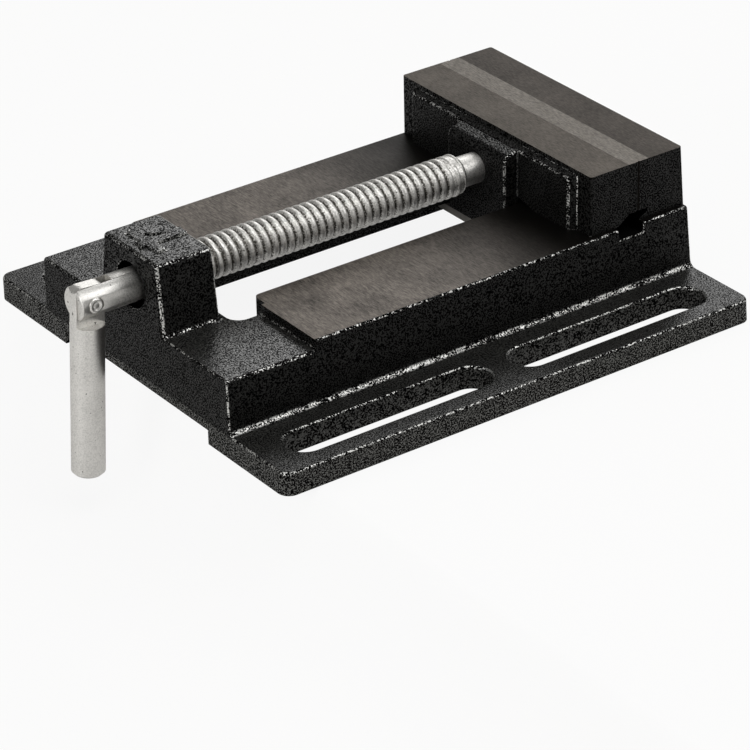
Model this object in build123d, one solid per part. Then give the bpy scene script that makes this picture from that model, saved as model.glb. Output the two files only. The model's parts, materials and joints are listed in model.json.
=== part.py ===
"""Drill press vise with 100 mm jaws, closed, handle hanging.

Millimetres. The origin is the centre of the four slots on the underside.
+X runs from the handle end to the fixed jaw, +Z is up.
"""

import math
import os

from build123d import *

# Base casting, outline
base_length = 183.0
base_width = 164.0
base_corner_radius = 4.0
flange_thickness = 8.0
outer_edge_radius = 0.9
foot_relief_width = 81.5
foot_relief_height = 4.9

# Base casting, bed and rails
bed_width = 104.0
bed_height = 29.9
bed_draft = 1.6
bed_foot_radius = 2.3
bed_edge_radius = 1.1
rail_far_bevel_width = 2.6
rail_far_bevel_height = 2.2
bed_side_wall = 9.0
bed_end_wall = 8.5
bed_hollow_radius = 5.0
rail_thickness = 11.5
deck_drop = 3.3
deck_length = 33.0
deck_step_radius = 0.8
gap_width = 33.0
gap_front_rim = 23.0
gap_rear_rim = 23.0
gap_nose_width = 45.8
gap_nose_length = 11.5
gap_nose_radius = 5.0
gap_rear_radius = 4.0
rail_corner_radius = 2.0
groove_length = 10.1
groove_depth = 3.4
groove_radius = 1.5

# Slots in the flanges
slot_length = 77.0
slot_width = 13.6
slot_bridge = 9.0
slot_middle_share = 8 / 15
slot_edge_radius = 0.8

# Nut block
nut_length = 21.2
nut_height = 23.6
nut_foot_width = 36.6
nut_top_width = 30.0
nut_front_lean = 0.4
nut_edge_radius = 1.6
nut_top_radius = 1.3
nut_foot_radius = 1.6
nut_bore_chamfer = 1.2

# Fixed jaw
jaw_width = 100.0
jaw_height = 20.95
fixed_jaw_thickness = 13.85
rear_draft_run = 3.9
fixed_ledge = 3.45
fixed_ledge_height = 0.5
fixed_ledge_slope = 1.8
pad_width = 90.0
pad_top_drop = 8.0
pad_bottom = 12.0
pad_inset = 1.0
pad_bevel = 2.2
pad_corner_radius = 3.0
pad_edge_radius = 0.8

# Moving jaw
moving_jaw_thickness = 15.55
moving_foot_run = 4.3
moving_foot_rise = 3.0
jaw_edge_radius = 0.8
raised_face = 2.7
raised_face_width = 86.8
raised_face_bevel = 2.4
raised_top_drop = 1.55
raised_top_bevel = 1.3
raised_edge_radius = 0.9
boss_length = 5.0
boss_width = 30.4
boss_top_drop = 4.35
boss_top_rise = 1.5
boss_edge_radius = 1.2
boss_top_radius = 3.0
foot_relief_rise = 2.3
foot_relief_run = 9.0
guide_clearance = 0.3

# Jaw plates and their screws
plate_thickness = 4.0
plate_height = 17.6
plate_chamfer = 0.4
plate_screw_inset = 16.1
plate_screw_drop = 8.15
plate_screw_diameter = 4.0
plate_screw_length = 12.0
plate_screw_head_diameter = 7.3
plate_screw_head_height = 2.0
plate_screw_dome = 0.5
counterbore_depth = 2.6
counterbore_clearance = 0.5
screw_hole_clearance = 0.25
tapped_hole_clearance = 0.05

# Keeper under the rails
keeper_thickness = 2.5
keeper_width = 52.0
keeper_length = 21.0
keeper_corner_radius = 2.0
keeper_clearance = 0.2
keeper_screw_diameter = 5.0
keeper_screw_spacing = 11.0
keeper_screw_grip = 10.0
keeper_head_across_flats = 8.0
keeper_head_height = 3.5
washer_thickness = 1.2
washer_width = 2.0
washer_slit = 1.0

# Screw spindle
spindle_rise = 8.1
thread_diameter = 13.84
thread_length = 119.0
thread_end_chamfer = 1.6
nut_clearance = 0.09
neck_diameter = 10.3
neck_exposed = 7.7
neck_seat = 17.0
neck_clearance = 0.08
neck_end_clearance = 0.3
neck_end_chamfer = 0.8
retaining_pin_diameter = 4.0
retaining_pin_setback = 10.0
retaining_pin_bite = 1.8
retaining_pin_rise = 8.0
retaining_pin_clearance = 0.1
shank_diameter = 11.0
pivot_reach = 15.5
fork_end = 4.9
fork_end_chamfer = 0.4
fork_slot_depth = 8.0
fork_clearance = 0.1

# Handle and its rivet
handle_diameter = 10.9
handle_length = 60.0
handle_end_chamfer = 1.0
handle_lean = 3.2
tongue_thickness = 4.0
tongue_shoulder = 8.1
tongue_top = 5.3
tongue_corner_radius = 2.0
rivet_diameter = 4.0
rivet_clearance = 0.08
rivet_head_diameter = 5.2
rivet_head_height = 0.9
rivet_head_dome = 0.5
rivet_head_seat = 0.6
rivet_head_clearance = 0.1

# Places that follow from the sizes above
front_x = -base_length / 2
rear_x = base_length / 2
deck_z = bed_height - deck_drop
jaw_top_z = bed_height + jaw_height
rail_under_z = bed_height - rail_thickness
rail_front_x = front_x + deck_length
slot_y = bed_width / 2 + (base_width - bed_width) / 2 * slot_middle_share
spindle_z = bed_height + spindle_rise
fixed_seat_x = rear_x - rear_draft_run - fixed_jaw_thickness
seam_x = fixed_seat_x - plate_thickness
fixed_ledge_x = fixed_seat_x - fixed_ledge
moving_seat_x = seam_x - plate_thickness
jaw_back_x = moving_seat_x - moving_jaw_thickness
raised_face_x = jaw_back_x - raised_face
boss_x = raised_face_x - boss_length
plate_bottom_z = jaw_top_z - plate_height
ledge_low_z = bed_height + fixed_ledge_height
plate_screw_z = jaw_top_z - plate_screw_drop
plate_screw_y = jaw_width / 2 - plate_screw_inset
keeper_top_z = rail_under_z - keeper_clearance
keeper_bottom_z = keeper_top_z - keeper_thickness
tongue_rear_x = boss_x + keeper_length
keeper_screw_mid_x = boss_x + keeper_length / 2
neck_end_x = boss_x + neck_seat
pin_x = boss_x + retaining_pin_setback
pin_y = neck_diameter / 2 - retaining_pin_bite + retaining_pin_diameter / 2
pin_top_z = spindle_z + retaining_pin_rise
thread_rear_x = boss_x - neck_exposed
pivot_x = front_x - pivot_reach
fork_slot_width = tongue_thickness + 2 * fork_clearance
through = base_length
cut_over = 1.0


def block(x0, x1, y0, y1, z0, z1):
    """Box between two corners."""
    middle = ((x0 + x1) / 2, (y0 + y1) / 2, (z0 + z1) / 2)
    return Pos(*middle) * Box(x1 - x0, y1 - y0, z1 - z0)


def rod_x(radius, x0, x1):
    """Round bar on the spindle's axis."""
    middle = ((x0 + x1) / 2, 0, spindle_z)
    return Pos(*middle) * Rot(0, 90, 0) * Cylinder(radius, x1 - x0)


def upright(radius, x, y, z0, z1):
    """Round bar that stands upright."""
    return Pos(x, y, (z0 + z1) / 2) * Cylinder(radius, z1 - z0)


def across(points, width):
    """Side profile in x and z, carried across the vise."""
    face = make_face(Plane.XZ * Polyline(*points, close=True))
    return extrude(face, width / 2, both=True)


def domed_pin(outline, rise):
    """Turned pin; the outline runs from its foot to the rim of a spherical top."""
    wide, rim = outline[-1]
    ball = (wide ** 2 + rise ** 2) / (2 * rise)
    top = rim + rise
    halfway = (wide / 2, top - ball + math.sqrt(ball ** 2 - wide ** 2 / 4))
    dome = ThreePointArc((wide, rim), halfway, (0, top))
    closing = Line((0, top), outline[0])
    return revolve(Plane.XZ * make_face([Polyline(*outline), dome, closing]), Axis.Z)


def edges_at(edges, axis, place, reach=0.01):
    """Those of the edges whose middle lies at one place on an axis."""
    found = []
    for edge in edges:
        middle = tuple(edge.center())["XYZ".index(axis)]
        if abs(middle - place) < reach:
            found.append(edge)
    return found


def bed_half_width(z):
    """Half width of the bed, a little wider at its foot."""
    return bed_width / 2 + (bed_height - z) * math.tan(math.radians(bed_draft))


def bed_section(top_z):
    """Cross-section of flanges and bed, with its rounded corners."""
    edge = base_width / 2
    foot = bed_half_width(flange_thickness)
    top = bed_half_width(top_z)
    right = [(edge, 0), (edge, flange_thickness), (foot, flange_thickness), (top, top_z)]
    left = [(-y, z) for y, z in reversed(right)]
    face = make_face(Polyline(*right, *left, close=True))
    for height, wide, radius in (
        (flange_thickness, foot, bed_foot_radius),
        (top_z, top, bed_edge_radius),
    ):
        corners = []
        for vertex in face.vertices():
            if abs(vertex.Y - height) < 0.01 and abs(abs(vertex.X) - wide) < 0.01:
                corners.append(vertex)
        face = fillet(corners, radius)
    return face


def bed_length(top_z, x0, x1):
    """Flanges and bed between two places along the vise."""
    side = Plane(origin=(x0, 0, 0), x_dir=(0, 1, 0), z_dir=(1, 0, 0))
    return extrude(side * bed_section(top_z), x1 - x0)


def far_bevel():
    """What is ground off the far rail's outer edge."""
    top = bed_half_width(bed_height) - rail_far_bevel_width
    low_z = bed_height - rail_far_bevel_height
    rise_y = bed_half_width(low_z) - top
    over = cut_over / rail_far_bevel_height
    high_z = bed_height + cut_over
    profile = make_face(Plane.YZ * Polyline(
        (top - over * rise_y, high_z),
        (top + rise_y + over * rise_y, low_z - cut_over),
        (top + rise_y + over * rise_y, high_z),
        close=True,
    ))
    return Pos(rail_front_x - cut_over, 0, 0) * extrude(profile, base_length, dir=(1, 0, 0))


def gap_outline():
    """Plan of the opening between the rails, wider behind the nut block."""
    gap_front = front_x + gap_front_rim
    gap_rear = rear_x - gap_rear_rim
    nose_rear = gap_front + gap_nose_length
    nose = Pos((gap_front + nose_rear) / 2, 0) * Rectangle(gap_nose_length, gap_nose_width)
    long_part = Pos((gap_front + gap_rear) / 2, 0) * Rectangle(gap_rear - gap_front, gap_width)
    plan = nose + long_part
    for x, y, radius in (
        (gap_front, gap_nose_width / 2, gap_nose_radius),
        (nose_rear, gap_width / 2, rail_corner_radius),
        (gap_rear, gap_width / 2, gap_rear_radius),
    ):
        corners = []
        for vertex in plan.vertices():
            if abs(vertex.X - x) < 0.01 and abs(abs(vertex.Y) - y) < 0.01:
                corners.append(vertex)
        plan = fillet(corners, radius)
    return plan


def nut_block():
    """Tapered block at the handle end that carries the thread."""
    foot = Pos(front_x + nut_length / 2, 0, deck_z - 2 * outer_edge_radius)
    top = Pos(front_x + (nut_length + nut_front_lean) / 2, 0, deck_z + nut_height)
    body = loft([
        foot * RectangleRounded(nut_length, nut_foot_width, nut_edge_radius),
        top * RectangleRounded(nut_length - nut_front_lean, nut_top_width, nut_edge_radius),
    ])
    return fillet(body.faces().sort_by(Axis.Z)[-1].edges(), nut_top_radius)


def rear_at(z):
    """Where the drafted rear face lies at one height."""
    return rear_x - rear_draft_run * z / jaw_top_z


def fixed_jaw():
    """Upright jaw with its plate seat, ledge and drafted back."""
    body = across([
        (fixed_ledge_x, flange_thickness),
        (fixed_ledge_x, ledge_low_z),
        (fixed_seat_x, ledge_low_z + fixed_ledge_slope),
        (fixed_seat_x, jaw_top_z),
        (rear_at(jaw_top_z), jaw_top_z),
        (rear_at(flange_thickness), flange_thickness),
    ], jaw_width)
    middle_x = (rear_at(jaw_top_z) + rear_at(flange_thickness)) / 2
    return fillet(edges_at(body.edges(), "X", middle_x), jaw_edge_radius)


def rear_wedge():
    """What the drafted rear face takes off the casting."""
    return across([
        (rear_at(0), 0),
        (rear_at(jaw_top_z), jaw_top_z),
        (rear_at(jaw_top_z), jaw_top_z + jaw_height),
        (rear_x + jaw_height, jaw_top_z + jaw_height),
        (rear_x + jaw_height, 0),
    ], 2 * base_width)


def rear_pad():
    """Raised upright field on the back of the fixed jaw."""
    top = jaw_top_z - pad_top_drop
    height = top - pad_bottom
    face_x = rear_x - pad_inset
    base_x = face_x - pad_bevel
    back = Plane(origin=(base_x, 0, pad_bottom), x_dir=(0, 1, 0), z_dir=(1, 0, 0))
    front = Plane(origin=(face_x, 0, pad_bottom), x_dir=(0, 1, 0), z_dir=(1, 0, 0))
    inner_height = height - pad_bevel
    inner_width = pad_width - 2 * pad_bevel
    pad = loft([
        back * Pos(0, height / 2) * RectangleRounded(pad_width, height, pad_corner_radius),
        front * Pos(0, inner_height / 2)
        * RectangleRounded(inner_width, inner_height, pad_corner_radius),
    ])
    return fillet(edges_at(pad.edges(), "X", face_x), pad_edge_radius)


def base_casting():
    """One casting: flanges, bed, rails, fixed jaw and nut block."""
    casting = bed_length(deck_z, front_x, rail_front_x) + bed_length(bed_height, rail_front_x, rear_x)
    casting = casting - rear_wedge()
    corners = []
    for edge in casting.edges():
        place = edge.center()
        outside = abs(abs(place.Y) - base_width / 2) < 0.01 and abs(place.X) > rear_x - rear_draft_run
        if outside and 0.01 < place.Z < flange_thickness - 0.01:
            corners.append(edge)
    casting = fillet(corners, base_corner_radius)
    step = []
    for edge in casting.edges().filter_by(Axis.Y):
        if abs(edge.center().X - rail_front_x) < 0.01 and abs(edge.center().Z - deck_z) < 0.01:
            step.append(edge)
    casting = fillet(step, deck_step_radius)
    front = [edge for edge in edges_at(casting.edges(), "X", front_x) if edge.center().Z > 0.01]
    casting = fillet(front, outer_edge_radius) - far_bevel()

    block_on_deck = nut_block()
    casting = casting + block_on_deck
    foot = []
    for edge in casting.edges():
        place = edge.center()
        low = abs(place.Z - deck_z) < 0.05
        inside = front_x + outer_edge_radius < place.X < front_x + nut_length + nut_edge_radius
        if low and inside and abs(place.Y) < nut_foot_width:
            foot.append(edge)
    casting = fillet(foot, nut_foot_radius)

    groove = make_face(Plane.XZ * Polyline(
        (fixed_ledge_x - groove_length, bed_height + groove_depth),
        (fixed_ledge_x - groove_length, bed_height - groove_depth),
        (fixed_ledge_x, bed_height - groove_depth),
        (fixed_ledge_x, bed_height + groove_depth),
        close=True,
    ))
    low = groove.vertices().group_by(Axis.Z)[0]
    casting = casting - extrude(fillet(low, groove_radius), base_width, both=True)
    casting = casting + fixed_jaw()
    casting = casting + rear_pad()

    casting = casting - extrude(gap_outline(), bed_height + cut_over)
    relief = foot_relief_width / 2
    casting = casting - block(front_x - cut_over, rear_x + cut_over, -relief, relief, 0, foot_relief_height)
    hollow = RectangleRounded(
        base_length - 2 * bed_end_wall,
        bed_width - 2 * bed_side_wall,
        bed_hollow_radius,
    )
    casting = casting - extrude(hollow, rail_under_z)

    bore = thread_diameter / 2 + nut_clearance
    casting = casting - rod_x(bore, front_x - cut_over, front_x + nut_length + cut_over)
    mouth = Pos(front_x + nut_bore_chamfer / 2, 0, spindle_z) * Rot(0, 90, 0)
    casting = casting - mouth * Cone(bore + nut_bore_chamfer, bore, nut_bore_chamfer)

    for x, y in slot_places():
        slot = Pos(x, y) * SlotOverall(slot_length, slot_width)
        casting = casting - extrude(slot, flange_thickness)
    rims = []
    for edge in edges_at(casting.edges(), "Z", flange_thickness):
        place = edge.center()
        for x, y in slot_places():
            if abs(place.X - x) <= slot_length / 2 and abs(place.Y - y) <= slot_width / 2 + 0.01:
                rims.append(edge)
    casting = fillet(rims, slot_edge_radius)

    for y in plate_screw_places():
        casting = casting - plate_screw_hole(y, fixed_seat_x, 1)
    return casting


def slot_places():
    """Centres of the four slots."""
    along = (slot_length + slot_bridge) / 2
    return [(x, y) for x in (-along, along) for y in (-slot_y, slot_y)]


def plate_screw_places():
    """Where the two screws of a jaw plate lie across the vise."""
    return (-plate_screw_y, plate_screw_y)


def plate_screw_hole(y, seat_x, way):
    """Tapped hole in a jaw, entered from its plate seat."""
    depth = plate_screw_length - plate_thickness + counterbore_depth
    radius = plate_screw_diameter / 2 + tapped_hole_clearance
    middle = seat_x + way * depth / 2
    return Pos(middle, y, plate_screw_z) * Rot(0, 90, 0) * Cylinder(radius, depth)


def moving_jaw():
    """Sliding jaw with raised face, boss for the spindle and tongue."""
    body = across([
        (jaw_back_x, bed_height),
        (moving_seat_x - moving_foot_run, bed_height),
        (moving_seat_x, bed_height + moving_foot_rise),
        (moving_seat_x, jaw_top_z),
        (jaw_back_x, jaw_top_z),
    ], jaw_width)

    high = jaw_top_z - raised_top_drop - bed_height
    low = high - raised_top_bevel
    near = Plane(origin=(jaw_back_x, 0, bed_height), x_dir=(0, 1, 0), z_dir=(1, 0, 0))
    far = Plane(origin=(raised_face_x, 0, bed_height), x_dir=(0, 1, 0), z_dir=(1, 0, 0))
    narrow = raised_face_width - 2 * raised_face_bevel
    raised = loft([
        near * Pos(0, high / 2) * Rectangle(raised_face_width, high),
        far * Pos(0, low / 2) * Rectangle(narrow, low),
    ])
    outer = []
    for edge in raised.edges():
        place = edge.center()
        if place.X < jaw_back_x - 0.01 and place.Z > bed_height + 0.01:
            outer.append(edge)
    raised = fillet(outer, raised_edge_radius)

    boss_front_z = jaw_top_z - boss_top_drop
    profile = make_face(Plane.XZ * Polyline(
        (boss_x, keeper_top_z),
        (boss_x, boss_front_z),
        (raised_face_x, boss_front_z + boss_top_rise),
        (jaw_back_x, boss_front_z + boss_top_rise),
        (jaw_back_x, bed_height),
        (tongue_rear_x, bed_height),
        (tongue_rear_x, keeper_top_z),
        close=True,
    ))
    shoulder = edges_at(profile.vertices().group_by(Axis.X)[0], "Z", boss_front_z)
    boss = extrude(fillet(shoulder, boss_top_radius), boss_width / 2, both=True)
    outer = []
    for edge in edges_at(boss.edges(), "Y", -boss_width / 2) + edges_at(boss.edges(), "Y", boss_width / 2):
        place = edge.center()
        if place.Z > keeper_top_z + 0.01 and place.X < jaw_back_x - 0.01:
            outer.append(edge)
    boss = fillet(outer, boss_edge_radius)

    back = edges_at(body.edges().filter_by(Axis.Z), "X", jaw_back_x)
    jaw = fillet(back, jaw_edge_radius) + raised
    for side in (-1, 1):
        start = side * boss_width / 2
        wedge = make_face(Plane.YZ * Polyline(
            (start, bed_height),
            (start, bed_height + foot_relief_rise),
            (start + side * foot_relief_run, bed_height),
            close=True,
        ))
        relief = Pos(raised_face_x - cut_over, 0, 0) * extrude(wedge, seam_x - raised_face_x, dir=(1, 0, 0))
        jaw = jaw - relief

    guide = gap_width / 2 - guide_clearance
    jaw = jaw + boss + block(jaw_back_x, tongue_rear_x, -guide, guide, keeper_top_z, bed_height)

    bore_end = neck_end_x + neck_end_clearance
    jaw = jaw - rod_x(neck_diameter / 2 + neck_clearance, boss_x - cut_over, bore_end)
    for side in (-1, 1):
        jaw = jaw - upright(retaining_pin_diameter / 2, pin_x, side * pin_y, keeper_top_z, pin_top_z)
    for x in keeper_screw_places():
        radius = keeper_screw_diameter / 2 + tapped_hole_clearance
        jaw = jaw - upright(radius, x, 0, keeper_top_z, keeper_top_z + keeper_screw_grip + cut_over)
    for y in plate_screw_places():
        jaw = jaw - plate_screw_hole(y, moving_seat_x, -1)
    return jaw


def jaw_plate(back_x, face_x):
    """Hard plate between its seat and its gripping face."""
    low_x = min(back_x, face_x)
    half = jaw_width / 2
    plate = block(low_x, low_x + plate_thickness, -half, half, plate_bottom_z, jaw_top_z)
    rim = []
    for edge in edges_at(plate.edges(), "X", face_x):
        if edge.center().Z < jaw_top_z - 0.01:
            rim.append(edge)
    plate = chamfer(rim, plate_chamfer)
    way = 1 if face_x > back_x else -1
    for y in plate_screw_places():
        radius = plate_screw_diameter / 2 + screw_hole_clearance
        hole = Pos((back_x + face_x) / 2, y, plate_screw_z) * Rot(0, 90, 0)
        plate = plate - hole * Cylinder(radius, 2 * plate_thickness)
        radius = plate_screw_head_diameter / 2 + counterbore_clearance
        mouth_x = face_x - way * counterbore_depth / 2
        mouth = Pos(mouth_x, y, plate_screw_z) * Rot(0, 90, 0)
        plate = plate - mouth * Cylinder(radius, counterbore_depth)
    return plate


def plate_screw(face_x, y, way):
    """Low domed screw that holds a jaw plate; way is where its head points."""
    head = plate_screw_head_diameter / 2
    shank = plate_screw_diameter / 2
    turned = domed_pin([
        (0, -plate_screw_length),
        (shank, -plate_screw_length),
        (shank, 0),
        (head, 0),
        (head, plate_screw_head_height - plate_screw_dome),
    ], plate_screw_dome)
    seat_x = face_x - way * counterbore_depth
    return Pos(seat_x, y, plate_screw_z) * Rot(0, 90 * way, 0) * turned


def keeper_screw_places():
    """Where the two keeper screws lie along the vise."""
    half = keeper_screw_spacing / 2
    return (keeper_screw_mid_x - half, keeper_screw_mid_x + half)


def keeper_plate():
    """Flat bar bolted under the tongue; its wings run under the rails."""
    middle = keeper_screw_mid_x
    outline = Pos(middle, 0) * RectangleRounded(keeper_length, keeper_width, keeper_corner_radius)
    plate = Pos(0, 0, keeper_bottom_z) * extrude(outline, keeper_thickness)
    for x in keeper_screw_places():
        radius = keeper_screw_diameter / 2 + screw_hole_clearance
        plate = plate - upright(radius, x, 0, keeper_bottom_z, keeper_top_z)
    return plate


def keeper_washer(x):
    """Split spring washer."""
    inner = keeper_screw_diameter / 2 + screw_hole_clearance
    ring = Circle(inner + washer_width) - Circle(inner)
    slit = Pos(inner + washer_width / 2, 0) * Rectangle(2 * washer_width, washer_slit)
    washer = extrude(ring - slit, washer_thickness)
    return Pos(x, 0, keeper_bottom_z - washer_thickness) * washer


def keeper_screw(x):
    """Hexagon screw driven up from below."""
    flats = keeper_head_across_flats / 2
    corners = flats / math.cos(math.radians(30))
    head = extrude(RegularPolygon(corners, 6), keeper_head_height)
    bevel = (corners - flats) / 2
    turned = Pos(0, 0, keeper_head_height / 2) * Cylinder(corners, keeper_head_height)
    turned = chamfer(turned.edges().sort_by(Axis.Z)[0], bevel)
    shank = washer_thickness + keeper_thickness + keeper_screw_grip
    screw = (head & turned) + upright(
        keeper_screw_diameter / 2, 0, 0, keeper_head_height, keeper_head_height + shank)
    return Pos(x, 0, keeper_bottom_z - washer_thickness - keeper_head_height) * screw


def retaining_pin(side):
    """Upright pin beside the groove of the spindle's neck."""
    pin = upright(retaining_pin_diameter / 2, pin_x, side * pin_y, keeper_top_z, pin_top_z)
    return chamfer(pin.edges().group_by(Axis.Z)[-1], retaining_pin_diameter / 10)


def spindle():
    """Screw with forked shank, thread body and grooved neck."""
    fork_x = pivot_x - fork_end
    thread_front_x = thread_rear_x - thread_length
    shank = shank_diameter / 2
    thread = thread_diameter / 2
    neck = neck_diameter / 2
    root = thread - thread_end_chamfer
    half_section = make_face(Polyline(
        (fork_x, 0),
        (fork_x, shank - fork_end_chamfer),
        (fork_x + fork_end_chamfer, shank),
        (thread_front_x, shank),
        (thread_front_x, root),
        (thread_front_x + thread_end_chamfer, thread),
        (thread_rear_x - thread_end_chamfer, thread),
        (thread_rear_x, root),
        (thread_rear_x, neck),
        (neck_end_x - neck_end_chamfer, neck),
        (neck_end_x, neck - neck_end_chamfer),
        (neck_end_x, 0),
        close=True,
    ))
    groove = Pos(pin_x, pin_y) * Circle(retaining_pin_diameter / 2 + retaining_pin_clearance)
    turned = revolve(Plane.XZ * (half_section - groove), Axis.X)
    screw = Pos(0, 0, spindle_z) * turned

    half_slot = fork_slot_width / 2
    slot = block(
        fork_x - cut_over, pivot_x + fork_slot_depth,
        -half_slot, half_slot,
        spindle_z - shank_diameter, spindle_z + shank_diameter,
    )
    screw = screw - slot
    pin_hole = Pos(pivot_x, 0, spindle_z) * Rot(90, 0, 0)
    screw = screw - pin_hole * Cylinder(rivet_diameter / 2, 2 * shank_diameter)
    for side in (-1, 1):
        seat = side * (shank - rivet_head_seat + rivet_head_height / 2)
        sink = Pos(pivot_x, seat, spindle_z) * Rot(90, 0, 0)
        radius = rivet_head_diameter / 2 + rivet_head_clearance
        screw = screw - sink * Cylinder(radius, rivet_head_height)
    return screw


def handle_rivet():
    """Rivet through the fork, with a low domed head on each side."""
    seat = shank_diameter / 2 - rivet_head_seat
    head = rivet_head_diameter / 2
    shank = rivet_diameter / 2
    rim = seat + rivet_head_height - rivet_head_dome
    half = domed_pin([(0, 0), (shank, 0), (shank, seat), (head, seat), (head, rim)], rivet_head_dome)
    rivet = half + mirror(half, Plane.XY)
    return Pos(pivot_x, 0, spindle_z) * Rot(90, 0, 0) * rivet


def handle():
    """Round bar with a flat tongue that swings in the fork."""
    radius = handle_diameter / 2
    bar = Pos(0, 0, -(tongue_shoulder + handle_length) / 2) * Cylinder(
        radius, handle_length - tongue_shoulder)
    bar = chamfer(bar.edges().sort_by(Axis.Z)[0], handle_end_chamfer)
    tall = tongue_top + tongue_shoulder
    tongue = Pos(0, 0, tongue_top - tall / 2) * Cylinder(radius, tall)
    tongue = tongue & Box(2 * radius, tongue_thickness, through)
    wide = math.sqrt(radius ** 2 - (tongue_thickness / 2) ** 2)
    top_corners = Plane.XZ * Rectangle(2 * radius, 2 * tongue_top)
    top_corners = fillet(top_corners.vertices(), tongue_corner_radius + radius - wide)
    envelope = extrude(top_corners, tongue_thickness, both=True)
    envelope = envelope + block(-radius, radius, -radius, radius, -tongue_shoulder, 0)
    tongue = tongue & envelope
    eye = Rot(90, 0, 0) * Cylinder(rivet_diameter / 2 + rivet_clearance, through)
    hanging = (bar + tongue) - eye
    return Pos(pivot_x, 0, spindle_z) * Rot(0, handle_lean, 0) * hanging


def build_nodes():
    """Every piece by name."""
    nodes = {
        "base_casting": base_casting(),
        "moving_jaw": moving_jaw(),
        "fixed_jaw_plate": jaw_plate(fixed_seat_x, seam_x),
        "moving_jaw_plate": jaw_plate(moving_seat_x, seam_x),
        "keeper_plate": keeper_plate(),
        "spindle": spindle(),
        "handle": handle(),
        "handle_rivet": handle_rivet(),
    }
    for name, y in zip(("near", "far"), plate_screw_places()):
        nodes["fixed_plate_screw_" + name] = plate_screw(seam_x, y, -1)
        nodes["moving_plate_screw_" + name] = plate_screw(seam_x, y, 1)
    for name, x in zip(("front", "rear"), keeper_screw_places()):
        nodes["keeper_washer_" + name] = keeper_washer(x)
        nodes["keeper_screw_" + name] = keeper_screw(x)
    for name, side in (("near", -1), ("far", 1)):
        nodes["retaining_pin_" + name] = retaining_pin(side)
    return nodes


os.makedirs("parts", exist_ok=True)
for node_name, shape in build_nodes().items():
    export_step(shape, os.path.join("parts", node_name + ".step"))
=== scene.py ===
"""Drill press vise with 100 mm jaws: hammered cast iron, ground rails, plated screw and handle."""

import json
import math

import bpy
from mathutils import Matrix


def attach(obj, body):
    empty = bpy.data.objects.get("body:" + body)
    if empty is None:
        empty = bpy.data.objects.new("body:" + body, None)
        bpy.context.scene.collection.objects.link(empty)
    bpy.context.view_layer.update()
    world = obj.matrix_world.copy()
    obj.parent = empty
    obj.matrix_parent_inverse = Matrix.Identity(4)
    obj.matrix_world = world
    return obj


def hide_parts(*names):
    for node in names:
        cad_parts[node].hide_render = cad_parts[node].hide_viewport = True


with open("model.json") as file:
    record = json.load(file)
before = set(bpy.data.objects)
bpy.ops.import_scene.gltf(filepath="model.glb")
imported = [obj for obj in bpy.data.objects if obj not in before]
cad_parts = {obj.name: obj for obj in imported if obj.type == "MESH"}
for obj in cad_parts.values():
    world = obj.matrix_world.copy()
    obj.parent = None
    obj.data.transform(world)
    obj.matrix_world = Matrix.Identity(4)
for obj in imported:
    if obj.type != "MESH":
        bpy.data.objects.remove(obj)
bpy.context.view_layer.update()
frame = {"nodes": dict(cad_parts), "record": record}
node = frame["nodes"]

MM = 0.001


# Colours and nodes

def linear(code):
    """An sRGB hex colour as the linear colour that a shader reads."""
    levels = [int(code[i:i + 2], 16) / 255 for i in (1, 3, 5)]
    return tuple([c / 12.92 if c <= 0.04045 else ((c + 0.055) / 1.055) ** 2.4 for c in levels] + [1.0])


def add(tree, kind, settings):
    """Adds one shader node. A setting is a property or an input, and another node's output is linked to it.
    An input goes by its name, or by its number where that is plain: on a Mix node, 0 is the share,
    2 and 3 are the two values, and 6 and 7 the two colours."""
    new = tree.nodes.new("ShaderNode" + kind)
    inputs = {}
    for name, value in settings.items():
        if isinstance(name, str) and hasattr(new, name):
            setattr(new, name, value)
        else:
            inputs[name] = value
    for name, value in inputs.items():
        if isinstance(value, bpy.types.NodeSocket):
            tree.links.new(value, new.inputs[name])
        else:
            new.inputs[name].default_value = value
    return new


def new_material(name):
    material = bpy.data.materials.new(name)
    material.use_nodes = True
    material.node_tree.nodes.clear()
    return material, material.node_tree


# Places on the vise that its finishes and pieces follow, in millimetres

FLANGE_TOP = 8.0
FLANGE_SIDE = 82.0
FLANGE_END = 91.5
BED_TOP = 29.9
NUT_TOP = 50.2
NUT_REAR = -70.3
JAW_TOP = 50.85
JAW_END = 50.0
JAW_BACK = 50.2
RAISED_FACE = 47.5
BOSS_SIDE = 15.2
NOTCH_FRONT = 60.2
NOTCH_REAR = 70.3
NOTCH_BOTTOM = 26.5
SEAM_X = 69.75
PIVOT_X = -107.0
AXIS = (0, 0, 38.0)


# Materials

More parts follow.
